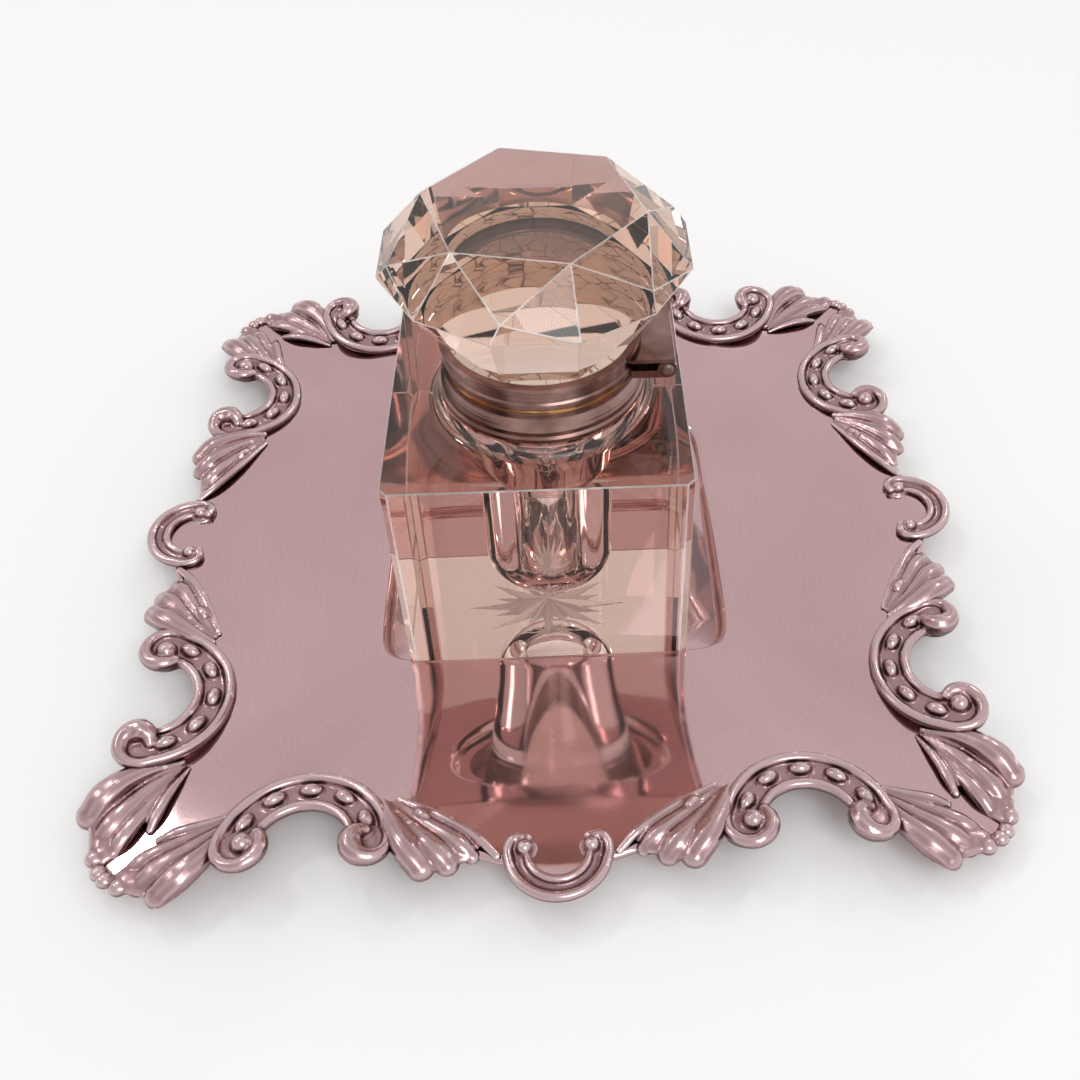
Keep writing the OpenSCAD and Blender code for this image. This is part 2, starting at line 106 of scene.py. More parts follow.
camera_data.shift_x, camera_data.shift_y = SHIFT
camera_data.clip_start = 0.01
print("camera lens, mm:", round(camera_data.lens, 1))

# %% [markdown]
# ## Small helpers for node materials
#
# Each finish is a Principled shader fed by a few noise and colour nodes. Patterns read
# Object coordinates, so they stay on the piece when it moves.

# %% Material helpers
def new_material(name, **inputs):
    material = bpy.data.materials.new(name)
    material.use_nodes = True
    shader = material.node_tree.nodes["Principled BSDF"]
    for key, value in inputs.items():
        shader.inputs[key.replace("_", " ")].default_value = value
    return material, material.node_tree, shader


def add_noise(tree, scale, detail=4.0, stretch=(1, 1, 1)):
    place = tree.nodes.new("ShaderNodeTexCoord")
    mapping = tree.nodes.new("ShaderNodeMapping")
    mapping.inputs["Scale"].default_value = stretch
    noise = tree.nodes.new("ShaderNodeTexNoise")
    noise.inputs["Scale"].default_value = scale
    noise.inputs["Detail"].default_value = detail
    tree.links.new(place.outputs["Object"], mapping.inputs["Vector"])
    tree.links.new(mapping.outputs["Vector"], noise.inputs["Vector"])
    return noise.outputs["Fac"]


def add_ramp(tree, source, low, high, low_value, high_value):
    ramp = tree.nodes.new("ShaderNodeMapRange")
    ramp.inputs["From Min"].default_value = low
    ramp.inputs["From Max"].default_value = high
    ramp.inputs["To Min"].default_value = low_value
    ramp.inputs["To Max"].default_value = high_value
    tree.links.new(source, ramp.inputs["Value"])
    return ramp.outputs["Result"]


def add_mix(tree, factor, first, second):
    mix = tree.nodes.new("ShaderNodeMix")
    mix.data_type = "RGBA"
    tree.links.new(factor, mix.inputs["Factor"])
    for key, value in (("A", first), ("B", second)):
        if isinstance(value, tuple):
            mix.inputs[key].default_value = (*value, 1)
        else:
            tree.links.new(value, mix.inputs[key])
    return mix.outputs["Result"]


def add_bump(tree, shader, height, distance, strength=1.0):
    bump = tree.nodes.new("ShaderNodeBump")
    bump.inputs["Distance"].default_value = distance
    bump.inputs["Strength"].default_value = strength
    tree.links.new(height, bump.inputs["Height"])
    tree.links.new(bump.outputs["Normal"], shader.inputs["Normal"])
    return bump

# %% [markdown]
# ## Silver plate
#
# Old plate is a mirror, smudged here and there, with hair-fine rubbing scratches; its rosy
# cast is a painted reflection of a pink room. The relief of the mounts has a second finish,
# darker as painted shade: its hollows keep tarnish where a polishing cloth can't reach and
# get painted shade, its steep walls get painted shade, and its ridges get rubbed wear and
# painted highlights.

# %% Silver finishes
# The pink in these silver colours is a painted reflection of a pink room.
SILVER = (0.66, 0.46, 0.47)
# The relief's base is the plate silver made darker: painted shade.
CAST_IN_PAINTED_SHADE = (0.44, 0.285, 0.295)
# Ridges get rubbed wear and a painted highlight in this colour.
RUBBED_AND_HIGHLIT = (0.90, 0.74, 0.75)
# Walls facing sideways or down are painted dark: painted shade and dark reflection.
WALL_SHADE = (0.13, 0.065, 0.065)
# Hollows darken to this colour: partly tarnish, partly painted shade.
TARNISH_AND_SHADE = (0.04, 0.018, 0.018)

polished_silver, tree, shader = new_material(
    "polished silver plate", Metallic=1.0, Roughness=0.06)
smudge = add_noise(tree, 28, 5)
# Both smudge tones carry the same painted pink reflection.
tint = add_mix(tree, add_ramp(tree, smudge, 0.35, 0.7, 0.0, 1.0), SILVER, (0.61, 0.41, 0.42))
swirl = tree.nodes.new("ShaderNodeTexWave")
swirl.wave_type = "RINGS"
swirl.rings_direction = "Z"
swirl.inputs["Scale"].default_value = 330
swirl.inputs["Distortion"].default_value = 30
swirl.inputs["Detail"].default_value = 3
swirl.inputs["Detail Scale"].default_value = 0.35
place = tree.nodes.new("ShaderNodeTexCoord")
tree.links.new(place.outputs["Object"], swirl.inputs["Vector"])
rubbed_line = add_ramp(tree, swirl.outputs["Fac"], 0.6, 1.0, 0.0, 0.05)
tree.links.new(add_mix(tree, rubbed_line, tint, (0.95, 0.80, 0.80)), shader.inputs["Base Color"])
tree.links.new(add_ramp(tree, smudge, 0.3, 0.75, 0.03, 0.11), shader.inputs["Roughness"])
add_bump(tree, shader, add_noise(tree, 60, 2), 0.0004, 0.12)

relief_silver, tree, shader = new_material(
    "cast silver relief", Metallic=1.0, Roughness=0.14)
# Ambient occlusion darkens the hollows: partly tarnish, partly painted shade.
hollow = tree.nodes.new("ShaderNodeAmbientOcclusion")
hollow.samples = 8
hollow.inputs["Distance"].default_value = 1.5 * MM
tarnish_and_painted_shade = add_ramp(tree, hollow.outputs["AO"], 0.25, 0.9, 1.0, 0.0)
shape = tree.nodes.new("ShaderNodeNewGeometry")
# Pointy ridges take the bright colour: rubbed wear and a painted highlight.
ridge_rub_and_highlight = add_ramp(tree, shape.outputs["Pointiness"], 0.5, 0.55, 0.0, 1.0)
shaded_cast_with_lit_ridges = add_mix(tree, ridge_rub_and_highlight, CAST_IN_PAINTED_SHADE, RUBBED_AND_HIGHLIT)
# The less a surface faces up, the more it takes the painted wall shade.
facing = tree.nodes.new("ShaderNodeSeparateXYZ")
tree.links.new(shape.outputs["Normal"], facing.inputs["Vector"])
wall = add_ramp(tree, facing.outputs["Z"], 0.0, 0.6, 0.9, 0.0)
with_wall_shade = add_mix(tree, wall, shaded_cast_with_lit_ridges, WALL_SHADE)
tree.links.new(add_mix(tree, tarnish_and_painted_shade, with_wall_shade, TARNISH_AND_SHADE), shader.inputs["Base Color"])
rubbed = add_noise(tree, 300, 4)
tree.links.new(add_ramp(tree, rubbed, 0.3, 0.7, 0.17, 0.3), shader.inputs["Roughness"])
add_bump(tree, shader, rubbed, 0.0001, 0.25)
print("silver finishes ready")

# %% [markdown]
# ## The dish of the tray
#
# A pressed sheet rises from the rim of its sunken well to its edge. The edge isn't level:
# it is highest under the beaded scrolls, lower at the middle of each side, and it falls
# away into a valley at each corner. The same height function shapes the sheet and seats
# every mount, so nothing floats.

# %% Height of the sheet
WELL_HALF, WELL_RIM, SHEET = 30.0, 3.2, 0.8
EDGE_MID, EDGE_PEAK, EDGE_CORNER = 5.0, 6.9, 3.7
DISH_REACH = 66.0
PEAK_FROM, PEAK_TO, CORNER_FALL = 0.56, 0.66, 0.24


def ease(step):
    return (1 - math.cos(math.pi * min(max(step, 0), 1))) / 2


def edge_level(share):
    """Height of the edge: share runs from 0 at the middle of a side to 1 at a corner."""
    if share < PEAK_FROM:
        return EDGE_MID + (EDGE_PEAK - EDGE_MID) * ease(share / PEAK_FROM)
    return EDGE_PEAK - (EDGE_PEAK - EDGE_CORNER) * ease((share - PEAK_TO) / CORNER_FALL)


def spread(x, y):
    return (abs(x) ** 12 + abs(y) ** 12) ** (1 / 12)


def sheet_z(x, y):
    share = min(abs(x), abs(y)) / max(abs(x), abs(y), 1e-6)
    rise = min(max((spread(x, y) - WELL_HALF) / (DISH_REACH - WELL_HALF), 0), 1.15)
    return WELL_RIM + (edge_level(share) - WELL_RIM) * rise ** 1.4


print("sheet height under a beaded scroll, mm:", round(sheet_z(38, 58), 2))

# %% [markdown]
# ## Outline of the sheet
#
# Seen from above, the sheet is a square that is cut back in a bay behind every beaded
# scroll and pushed out in a small bulge behind each centre scroll. The outline is kept as
# the distance from the centre at each angle, so a plain circle of vertices can be pushed
# out along its own rays to meet it.

# %% Outline of the sheet
SCROLL_AT, SCROLL_OUT, SCROLL_R = 38.4, 67.3, 10.2
CENTRE_OUT, CENTRE_R = 68.5, 6.3


def half_side():
    centre = [(6.6 * math.sin(math.radians(a)), CENTRE_OUT + 6.0 * math.cos(math.radians(a)))
              for a in range(0, 76, 8)]
    under_leaf = [(8.6, 70.0), (11.7, 69.1), (15.1, 69.7),
                  (18.8, 70.5), (21.9, 68.9), (24.4, 65.4)]
    bay = [(SCROLL_AT - SCROLL_R * math.cos(math.radians(a)),
            SCROLL_OUT - SCROLL_R * math.sin(math.radians(a)))
           for a in range(16, 141, 6)]
    corner = [(48.0, 63.0), (51.3, 64.9), (54.3, 67.9), (57.6, 70.2), (61.0, 71.0), (64.5, 70.4),
              (66.6, 69.9), (68.0, 69.3), (68.6, 68.6)]
    return centre + under_leaf + bay + corner


eighth = sorted((math.atan2(a, out), math.hypot(a, out)) for a, out in half_side())


def edge_reach(angle):
    turn = abs((angle + math.pi / 4) % (math.pi / 2) - math.pi / 4)
    for (near, short), (far, long) in zip(eighth, eighth[1:]):
        if near <= turn <= far:
            return short + (long - short) * (turn - near) / (far - near)
    return eighth[-1][1]


print("reach at mid side and corner, mm:",
      round(edge_reach(0), 1), round(edge_reach(math.pi / 4), 1))

# %% [markdown]
# ## The tray
#
# Two rings of vertices, one on the well's rim and one on the outline, are bridged and cut
# into many narrow rings. Each vertex then drops to the dish's height. More rings turn the
# rim over into the well, and Solidify gives the sheet its real thickness below.

# %% Tray
RAYS = 720


def ring(bm, reach, height):
    made = bmesh.ops.create_circle(bm, segments=RAYS, radius=1.0)["verts"]
    for vert in made:
        angle = math.atan2(vert.co.y, vert.co.x)
        far = reach(angle)
        vert.co = (far * math.cos(angle), far * math.sin(angle), 0)
        vert.co.z = height if height is not None else sheet_z(vert.co.x, vert.co.y)
    return [e for e in bm.edges if e.verts[0] in set(made) and e.verts[1] in set(made)]


def square_reach(half):
    return lambda angle: half / spread(math.cos(angle), math.sin(angle))


bm = bmesh.new()
edge_loop = ring(bm, edge_reach, None)
rim_loop = ring(bm, square_reach(31.0), None)
bridged = bmesh.ops.bridge_loops(bm, edges=edge_loop + rim_loop)
spokes = [e for e in bridged["edges"] if e.is_valid]
if not spokes:
    spokes = list({e for f in bridged["faces"] for e in f.edges} - set(edge_loop) - set(rim_loop))
bmesh.ops.subdivide_edges(bm, edges=spokes, cuts=30, use_grid_fill=True)
for vert in bm.verts:
    vert.co.z = sheet_z(vert.co.x, vert.co.y)
rim_loop = [e for e in bm.edges if e.is_boundary and spread(*e.verts[0].co.xy) < 31.5]
well_wall = ((30.5, 3.12), (30.12, 2.85), (30.0, 2.4), (30.0, 1.5), (29.75, 1.05), (29.2, 0.8))
for half, height in well_wall:
    next_loop = ring(bm, square_reach(half), height)
    bmesh.ops.bridge_loops(bm, edges=rim_loop + next_loop)
    rim_loop = next_loop
bmesh.ops.edgeloop_fill(bm, edges=rim_loop)
bmesh.ops.recalc_face_normals(bm, faces=bm.faces)
if sum(f.normal.z for f in bm.faces) < 0:
    bmesh.ops.reverse_faces(bm, faces=bm.faces)
tray = add_piece(bm, "tray_sheet", "stand", ["tray"], polished_silver, 50, False)
thickness = tray.modifiers.new("sheet thickness", "SOLIDIFY")
thickness.thickness = SHEET * MM
thickness.offset = -1.0
print("tray size, mm:", [round(v / MM, 1) for v in tray.dimensions])

# %% [markdown]
# ## Cast relief from soft strokes
#
# The mounts were cast from a hand-carved pattern, so every form is a soft, swelling
# stroke. Here a stroke is a Bezier curve whose radius grows and shrinks along it. The
# strokes and beads of one mount are gathered, fused by a voxel remesh and smoothed, which
# gives the slightly melted look of an old casting. One mount of each kind is made, then
# turned or mirrored to its places round the tray.

# %% Strokes and beads
def add_stroke(store, points, flatten=1.0, resolution=6):
    """Swept bar through points of (x, y, z, radius); flatten squeezes its height."""
    curve = bpy.data.curves.new("stroke", "CURVE")
    curve.dimensions = "3D"
    curve.twist_mode = "Z_UP"
    curve.bevel_depth = 1.0
    curve.bevel_resolution = 3
    curve.use_fill_caps = True
    spline = curve.splines.new("BEZIER")
    spline.bezier_points.add(len(points) - 1)
    spline.resolution_u = resolution
    for knot, (x, y, z, radius) in zip(spline.bezier_points, points):
        knot.co = (x, y, z / flatten)
        knot.radius = radius
        knot.handle_left_type = knot.handle_right_type = "AUTO"
    temporary = bpy.data.objects.new("stroke", curve)
    mesh = bpy.data.meshes.new_from_object(temporary)
    mesh.transform(Matrix.Diagonal((1, 1, flatten, 1)))
    store.from_mesh(mesh)
    bpy.data.objects.remove(temporary)
    for x, y, z, radius in (points[0], points[-1]):
        add_bead(store, (x, y, z), (radius, radius, radius * flatten))


def add_bead(store, place, radii, turn=0.0):
    bmesh.ops.create_uvsphere(
        store, u_segments=20, v_segments=12, radius=1.0,
        matrix=Matrix.Translation(place) @ Matrix.Rotation(math.radians(turn), 4, "Z")
        @ Matrix.Diagonal((*radii, 1)))


def on_arc(centre, radius, degrees, z, thick):
    angle = math.radians(degrees)
    return (centre[0] + radius * math.cos(angle), centre[1] + radius * math.sin(angle), z, thick)

# %% [markdown]
# ## Fusing a mount
#
# Voxel remesh turns the overlapping strokes into one closed skin of small even squares,
# and a few rounds of smoothing melt the joints between strokes. The flat back is cut with
# a plane afterwards, so that the mount lies tight on the sheet.

# %% Fuse strokes into one casting
VOXEL = 0.24


def fuse(store, name, floor_z=None, smooth=3):
    mesh = bpy.data.meshes.new(name)
    store.to_mesh(mesh)
    store.free()
    block = bpy.data.objects.new(name, mesh)
    bpy.context.scene.collection.objects.link(block)
    remesh = block.modifiers.new("fuse", "REMESH")
    remesh.mode = "VOXEL"
    remesh.voxel_size = VOXEL
    soften = block.modifiers.new("soften", "SMOOTH")
    soften.iterations = smooth
    soften.factor = 0.5
    depsgraph = bpy.context.evaluated_depsgraph_get()
    fused = bpy.data.meshes.new_from_object(block.evaluated_get(depsgraph))
    bpy.data.objects.remove(block)
    result = bmesh.new()
    result.from_mesh(fused)
    if floor_z is not None:
        cut = bmesh.ops.bisect_plane(
            result, geom=result.verts[:] + result.edges[:] + result.faces[:],
            plane_co=(0, 0, floor_z), plane_no=(0, 0, 1), clear_inner=True)
        rim = [e for e in cut["geom_cut"] if isinstance(e, bmesh.types.BMEdge)]
        bmesh.ops.holes_fill(result, edges=rim)
    print(f"{name}: {len(result.faces)} faces after the remesh")
    return result


def place_copies(master, kind, places):
    """Copies of one casting: {name: matrix}. A mirrored copy is turned outside in again."""
    for name, matrix in places.items():
        copy = master.copy()
        bmesh.ops.transform(copy, matrix=matrix, verts=copy.verts)
        if matrix.determinant() < 0:
            bmesh.ops.reverse_faces(copy, faces=copy.faces)
        add_piece(copy, f"{name}_relief", "stand", [name], relief_silver,
                  180, False)
    master.free()
    print(f"{kind}: {len(places)} placed")


SIDES = {"front": 0, "right": 1, "back": 2, "left": 3}
NEXT = {"front": ("left", "right"), "right": ("front", "back"),
        "back": ("right", "left"), "left": ("back", "front")}


def side_turn(side):
    return Matrix.Rotation(math.radians(180 + 90 * SIDES[side]), 4, "Z")

# %% [markdown]
# ## Beaded C-scroll
#
# Each large scroll is a C that opens away from the tray: a groove between two raised rims,
# with five oval pearls in it. The outer rim runs round both ends. At one end it coils into
# a volute with a bead in its eye, at the other it rolls into a fat hook.

# %% Beaded scroll
SINK = 0.5
PEARLS, FIRST_PEARL, PEARL_STEP = 5, 206, 31.8
SCROLL_TILT, CENTRE_TILT = 7.5, 3
store = bmesh.new()
groove = [on_arc((0, 0), SCROLL_R, a, 0.3, 3.3) for a in range(180, 361, 15)]
add_stroke(store, groove, flatten=0.17)
volute, hook = (9.0, -0.8), (-9.3, -0.6)
add_bead(store, (*volute, 0.45), (4.0, 4.0, 0.75))
add_bead(store, (*hook, 0.45), (3.6, 3.6, 0.75))
coil = [on_arc(volute, r, a, z, t) for a, r, z, t in (
    (0, 3.85, 1.0, 0.92), (40, 3.75, 1.05, 1.0), (80, 3.6, 1.15, 1.1), (120, 3.4, 1.35, 1.25),
    (160, 3.15, 1.5, 1.35), (192, 2.9, 1.55, 1.25), (216, 2.75, 1.5, 1.0))]
roll = [on_arc(hook, r, a, z, t) for a, r, z, t in (
    (180, 3.6, 1.0, 0.9), (140, 3.45, 1.1, 1.1), (95, 2.9, 1.35, 1.5), (50, 2.3, 1.65, 1.9),
    (5, 1.8, 1.8, 2.0), (-45, 1.5, 1.7, 1.6), (-95, 1.6, 1.4, 0.9))]
arch = [on_arc((0, 0), 12.75, a, 1.0, 0.95) for a in range(196, 346, 14)]
add_stroke(store, roll[::-1] + arch + coil)
inner = [on_arc((0, 0), 7.6, a, 1.0, t) for a, t in (
    (200, 0.6), (214, 0.8), (240, 0.88), (270, 0.9), (300, 0.88), (326, 0.8), (341, 0.7))]
add_stroke(store, inner)
add_bead(store, (volute[0] - 0.3, volute[1], 1.4), (1.7, 1.7, 1.7))
for i in range(PEARLS):
    angle = FIRST_PEARL + PEARL_STEP * i
    x, y, z, _ = on_arc((0, 0), SCROLL_R, angle, 1.05, 0)
    add_bead(store, (x, y, z), (1.15, 1.85, 1.4), angle)
scroll = fuse(store, "scroll_casting", 0.0)
bmesh.ops.rotate(scroll, verts=scroll.verts, cent=(0, 0, 0),
                 matrix=Matrix.Rotation(math.radians(SCROLL_TILT), 3, "X"))
bmesh.ops.translate(scroll, verts=scroll.verts,
                    vec=(0, SCROLL_OUT, sheet_z(SCROLL_AT, SCROLL_OUT) - SINK))
places = {}
for side, (near, far) in NEXT.items():
    places[f"scroll_{side}_{near}"] = side_turn(side) @ Matrix.Translation((SCROLL_AT, 0, 0))
    places[f"scroll_{side}_{far}"] = side_turn(side) @ Matrix.Translation((-SCROLL_AT, 0, 0))
place_copies(scroll, "beaded scroll", places)

# %% [markdown]
# ## Centre scroll
#
# The middle of each side has a small plain C that bulges outward, with a deep groove and
# a bead at each end. It is made in the same way.

# %% Centre scroll
store = bmesh.new()
add_stroke(store, [on_arc((0, 0), CENTRE_R, a, 0.4, 1.8) for a in range(0, 181, 15)],
           flatten=0.25)
outer = [on_arc((0, 0), CENTRE_R + 1.35, a, 1.05, 0.85) for a in range(14, 167, 12)]
right_end = [(4.7, -1.9, 1.3, 0.85), (6.3, -2.2, 1.2, 0.85), (7.5, -0.9, 1.05, 0.85)]
left_end = [(-x, y, z, r) for x, y, z, r in right_end[::-1]]
add_stroke(store, right_end + outer + left_end)
add_stroke(store, [on_arc((0, 0), CENTRE_R - 1.45, a, 1.0, t) for a, t in (
    (8, 0.5), (30, 0.68), (60, 0.74), (90, 0.74), (120, 0.74), (150, 0.68), (172, 0.5))])
for sign in (-1, 1):
    add_bead(store, (sign * 5.4, -0.6, 0.4), (2.4, 2.4, 0.7))
    add_bead(store, (sign * 5.1, -0.4, 1.25), (1.25, 1.25, 1.35))
centre = fuse(store, "centre_casting", 0.0)
bmesh.ops.rotate(centre, verts=centre.verts, cent=(0, 0, 0),
                 matrix=Matrix.Rotation(math.radians(CENTRE_TILT), 3, "X"))
bmesh.ops.translate(centre, verts=centre.verts,
                    vec=(0, CENTRE_OUT, sheet_z(0, CENTRE_OUT) - SINK))
place_copies(centre, "centre scroll", {
    f"centre_scroll_{side}": side_turn(side) for side in SIDES})

# %% [markdown]
# ## Leaves
#
# Acanthus leaves fill the border between the scrolls. Each is a fan of fleshy fingers:
# thin at the shared root, widest just before the blunt, rounded tip, with a deep crease
# between neighbours. The fingers follow the sheet, so their centre line is lifted by the
# sheet's own height. A broad low pad under them stands for the leaf's web.

# %% Leaf fingers
FINGER_FLAT, WEB_FLAT = 0.8, 0.42


def add_finger(store, knots, lift, droop):
    """One finger through (x, y, radius): it arches up, then turns down at its blunt tip."""
    last = len(knots) - 1
    points = []
    for i, (x, y, radius) in enumerate(knots):
        arch = math.sin(math.pi * i / last) * 0.8 - droop * (i == last)
        points.append((x, y, sheet_z(x, y) + lift + arch, radius))
    add_stroke(store, points, FINGER_FLAT, 8)


def add_web(store, knots):
    add_stroke(store, [(x, y, sheet_z(x, y) + 0.2, r) for x, y, r in knots], WEB_FLAT, 6)


def leaf_places(kind):
    places = {}
    for side, (near, far) in NEXT.items():
        places[f"{kind}_{side}_{near}"] = side_turn(side)
        places[f"{kind}_{side}_{far}"] = side_turn(side) @ Matrix.Scale(-1, 4, (1, 0, 0))
    return places


def trim_under(bm, depth):
    """Lifts whatever hangs under the sheet's top by more than depth."""
    for vert in bm.verts:
        lowest = sheet_z(vert.co.x, vert.co.y) - depth
        if vert.co.z < lowest:
            vert.co.z = lowest


print("leaf places:", len(leaf_places("leaf")))

# %% [markdown]
# ## Leaf between the scrolls
#
# Four fingers fan out from a root by the beaded scroll towards the centre scroll. A small
# bead covers the root.

# %% Leaf between the scrolls
store = bmesh.new()
add_web(store, [(26.0, 61.0, 1.4), (22.8, 66.0, 3.2), (19.0, 68.6, 3.0), (14.2, 68.6, 1.4)])
for knots, lift, droop in (
        ([(27.0, 59.6, 0.8), (25.0, 64.2, 1.7), (22.4, 68.4, 2.3), (20.4, 70.6, 2.2)], 0.35, 0.6),
        ([(26.2, 59.8, 0.6), (21.9, 65.0, 1.4), (18.2, 68.6, 2.0), (16.6, 70.1, 1.9)], 0.2, 0.6),
        ([(25.4, 59.4, 0.5), (19.6, 63.9, 1.15), (15.0, 67.2, 1.5), (13.0, 68.7, 1.35)], 0.1, 0.6),
        ([(24.6, 58.8, 0.5), (17.4, 62.8, 0.9), (12.0, 66.4, 0.85), (9.2, 69.0, 0.7)], 0.2, 0.0)):
    add_finger(store, knots, lift, droop)
add_bead(store, (20.6, 62.4, sheet_z(20.6, 62.4) + 0.9), (1.7, 0.9, 1.1), -40)
leaf = fuse(store, "leaf_casting", smooth=4)
trim_under(leaf, SINK)
place_copies(leaf, "leaf", leaf_places("leaf"))

# %% [markdown]
# ## Leaf beside each corner
#
# The same kind of fan, larger, runs from the other end of each beaded scroll to the
# corner. Two beads close the gap to its mirrored neighbour.

# %% Leaf beside each corner
store = bmesh.new()
add_web(store, [(51.0, 62.4, 1.2), (55.2, 66.4, 2.8), (60.0, 69.0, 3.2), (64.4, 69.2, 2.2)])
for knots, lift, droop in (
        ([(49.6, 60.6, 0.9), (52.4, 66.2, 1.8), (56.0, 70.2, 2.5), (58.6, 72.2, 2.3)], 0.35, 0.6),
        ([(50.4, 60.8, 0.7), (55.6, 65.2, 1.5), (60.0, 68.4, 2.05), (62.4, 69.9, 1.9)], 0.25, 0.6),
        ([(51.0, 60.4, 0.6), (57.2, 63.6, 1.15), (62.2, 66.4, 1.5), (64.8, 67.8, 1.25)], 0.15, 0.6),
        ([(50.4, 59.2, 0.45), (54.6, 61.0, 0.85), (58.6, 62.2, 1.0), (61.0, 62.9, 0.8)], 0.2, 0.0)):
    add_finger(store, knots, lift, droop)
for x, y, radius in ((65.4, 70.2, 1.5), (67.8, 69.0, 1.35)):
    add_bead(store, (x, y, sheet_z(x, y) + 0.1), (radius, radius, radius * 0.8))
corner = fuse(store, "corner_casting", smooth=4)
trim_under(corner, SINK)
place_copies(corner, "corner leaf", leaf_places("corner_leaf"))

# %% [markdown]
# ## Cut glass
#
# Old flint glass is heavy and very clear. Its faint warm cast is made stronger, as a painted
# warm reflection of the room. Its edges are ground and polished to a hair-thin facet, whose
# whitish finish paints glints on them as white lines. The cut star shines like silver from
# inside the glass: its facets get a silvery finish of their own, a painted reflection.
# Each glass body is one closed mesh, so light bends truly on its way in and out.

# %% Glass finishes
BODY_DENSITY = 12.0
CRYSTAL, GROUND_GLINT, STAR = 0, 1, 2
BOTTLE_EDGE, LID_EDGE = 0.2, 0.12


def glass_material(name, tint, warm_cast_and_room_tint, seed):
    material, tree, shader = new_material(
        name, Roughness=0.0, IOR=1.5, Transmission_Weight=0.985)
    # The warm absorption is partly the glass's own cast, partly a painted warm reflection of the
    # room.
    body = tree.nodes.new("ShaderNodeVolumeAbsorption")
    body.inputs["Color"].default_value = (*warm_cast_and_room_tint, 1)
    body.inputs["Density"].default_value = BODY_DENSITY
    tree.links.new(body.outputs["Volume"], tree.nodes["Material Output"].inputs["Volume"])
    streak = add_noise(tree, seed, 3, (1, 1, 0.35))
    pale = tuple(min(1.0, c * 1.03) for c in tint)
    tree.links.new(add_mix(tree, streak, tint, pale), shader.inputs["Base Color"])
    wear = add_noise(tree, 900, 3)
    tree.links.new(add_ramp(tree, wear, 0.62, 0.8, 0.0, 0.06), shader.inputs["Roughness"])
    add_bump(tree, shader, add_noise(tree, 45, 2), 0.00012, 0.1)
    return material


# These tints are partly the glass's faint warm cast, partly a painted warm reflection of the room.
bottle_crystal = glass_material("bottle crystal", (0.97, 0.92, 0.90), (0.70, 0.30, 0.12), 35)
lid_crystal = glass_material("lid crystal", (0.98, 0.93, 0.89), (0.88, 0.46, 0.22), 30)
# The whitish edge finish paints glints on the facet edges as bright lines.
ground_edge_glint, tree, shader = new_material(
    "ground glass edge with painted glints", Roughness=0.3, IOR=1.5, Transmission_Weight=0.72)
chips = add_noise(tree, 1500, 3)
tree.links.new(add_mix(tree, chips, (0.95, 0.88, 0.85), (1.0, 0.96, 0.94)),
               shader.inputs["Base Color"])
# The star's facets are painted silvery white: a painted reflection of the light they mirror inside
# the glass.
star_painted_reflection, tree, shader = new_material("cut star facet with painted reflection", Metallic=0.35, Roughness=0.3)
streak = add_noise(tree, 400, 3)
tree.links.new(add_mix(tree, streak, (0.92, 0.88, 0.86), (1.0, 0.98, 0.97)),
               shader.inputs["Base Color"])
print("glass finishes ready")


def grind_edges(bm, wanted, width):
    """Hair-thin ground facets with painted glints, along the sharp edges that wanted picks out."""
    sharp = [e for e in bm.edges if len(e.link_faces) == 2
             and e.calc_face_angle(0) > math.radians(7) and all(wanted(v.co) for v in e.verts)]
    made = bmesh.ops.bevel(bm, geom=sharp, offset=width, affect="EDGES",
                           segments=1, profile=0.5, material=GROUND_GLINT, clamp_overlap=True)
    print("ground facets:", len(made["faces"]))

# %% [markdown]
# ## Boolean helper
#
# The bottle is a block with a neck added and an ink well and a star cut out of it, just as
# the glass cutter worked it. Each tool body is a small closed mesh, and a Boolean modifier
# joins or cuts it.

# %% Boolean helper
def to_object(bm, name, finish=CRYSTAL):
    """A tool body in millimetres; finish is the material slot of the faces it leaves."""
    bmesh.ops.recalc_face_normals(bm, faces=bm.faces)
    for face in bm.faces:
        face.material_index = finish
    mesh = bpy.data.meshes.new(name)
    bm.to_mesh(mesh)
    bm.free()
    for material in (bottle_crystal, ground_edge_glint, star_painted_reflection):
        mesh.materials.append(material)
    made = bpy.data.objects.new(name, mesh)
    bpy.context.scene.collection.objects.link(made)
    return made


def combine(base, steps):
    """base after (operation, tool) Booleans, as a bmesh in millimetres."""
    for operation, tool in steps:
        step = base.modifiers.new(operation, "BOOLEAN")
        step.operation = operation
        step.solver = "EXACT"
        step.material_mode = "INDEX"
        step.object = tool
    depsgraph = bpy.context.evaluated_depsgraph_get()
    mesh = bpy.data.meshes.new_from_object(base.evaluated_get(depsgraph))
    result = bmesh.new()
    result.from_mesh(mesh)
    bmesh.ops.remove_doubles(result, verts=result.verts, dist=0.0005)
    for thing in [base] + [tool for _, tool in steps]:
        bpy.data.objects.remove(thing)
    return result


def spin_profile(profile, place, segments=160):
    """Closed ring or plug turned about a vertical line through place, from (radius, z)."""
    bm = bmesh.new()
    verts = [bm.verts.new((r, 0, z)) for r, z in profile]
    loop = [bm.edges.new((a, b)) for a, b in zip(verts, verts[1:])]
    if profile[0][0] > 1e-6:
        loop.append(bm.edges.new((verts[-1], verts[0])))
    bmesh.ops.spin(bm, geom=verts + loop, axis=(0, 0, 1), cent=(0, 0, 0),
                   angle=2 * math.pi, steps=segments, use_merge=True)
    bmesh.ops.remove_doubles(bm, verts=bm.verts, dist=0.0005)
    bmesh.ops.translate(bm, verts=bm.verts, vec=(*place, 0))
    return bm

# %% [markdown]
# ## The bottle
#
# A thick square block of crystal: a narrow bevel down each corner, a short round neck under
# the collar, and a round-bottomed ink well. Here are the block and the tools for the
# neck and the well.

